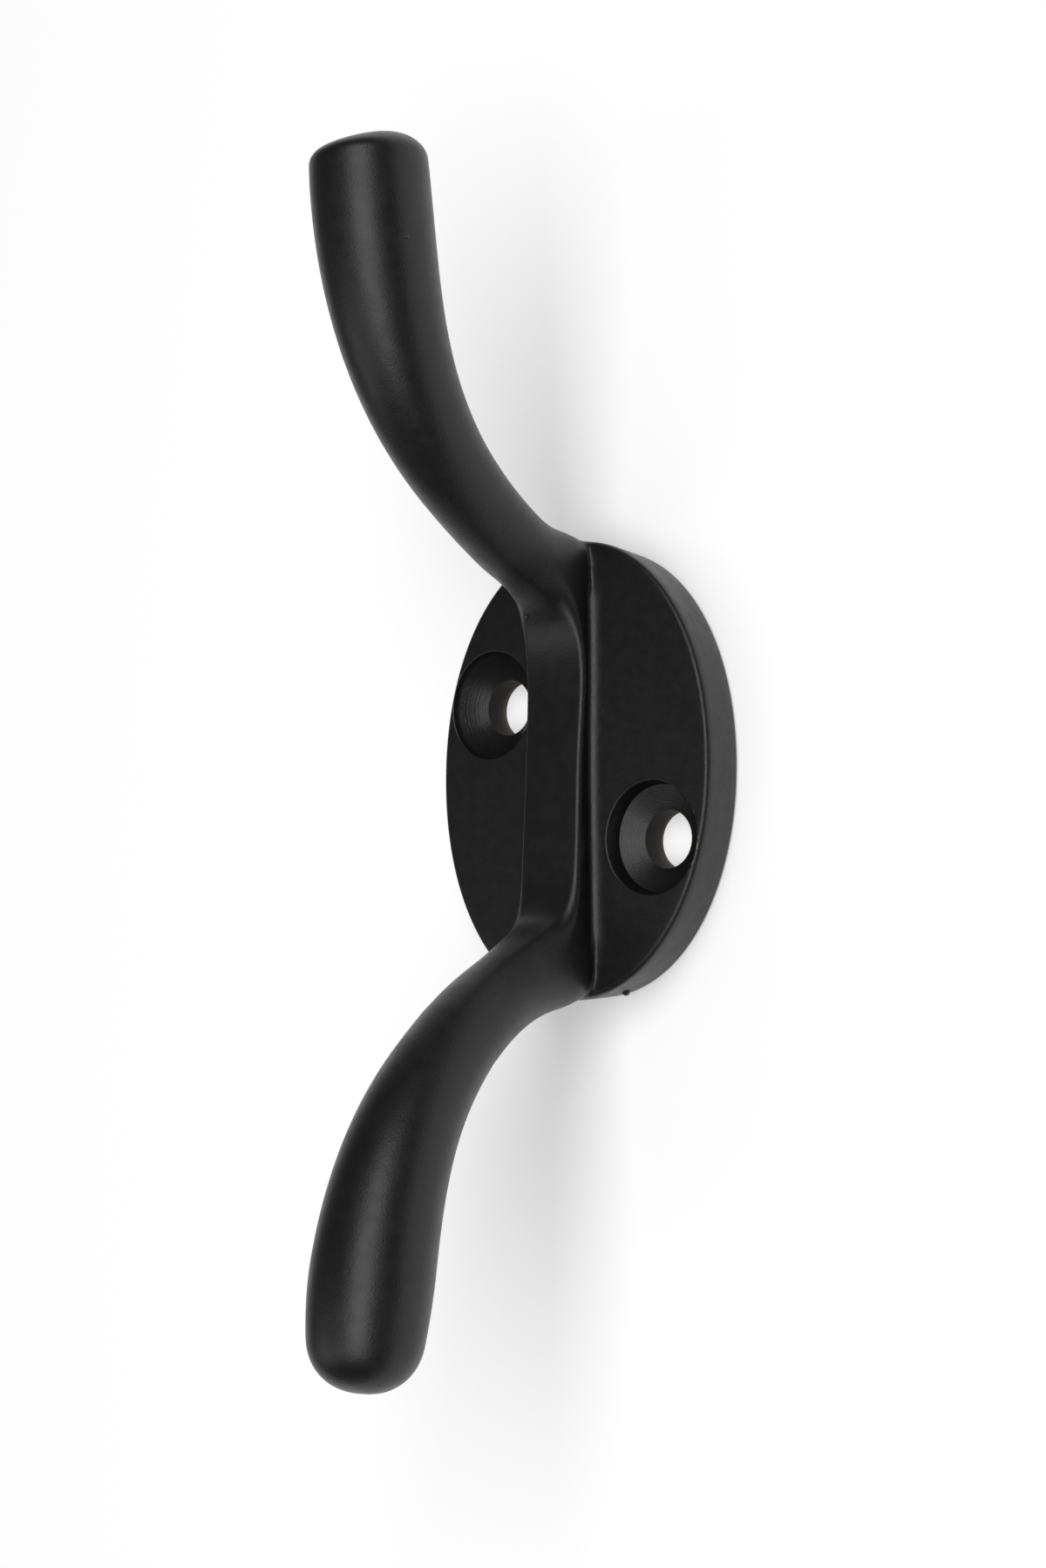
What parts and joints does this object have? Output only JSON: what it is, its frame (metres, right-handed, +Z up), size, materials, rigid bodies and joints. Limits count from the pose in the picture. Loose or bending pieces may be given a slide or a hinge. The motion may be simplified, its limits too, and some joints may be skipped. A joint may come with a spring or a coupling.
{
  "type": "cleat hook",
  "caption": "One-piece cast cleat hook: oval wall plate with a low rib, two outward-curving horns with rounded ends, and two countersunk screw holes, matt black.",
  "frame": {"origin": "centre of the plate's flat back face, on the wall plane", "axes": "+Z up along the hook's length, +Y into the wall, so the horns stand out towards -Y"},
  "size_m": [0.0274, 0.0305, 0.0919],
  "materials": {
    "black_coat": "matt powder coat with a fine grain over a casting"
  },
  "bodies": {
    "root": {"cleat_hook": "black_coat"}
  },
  "joints": []
}
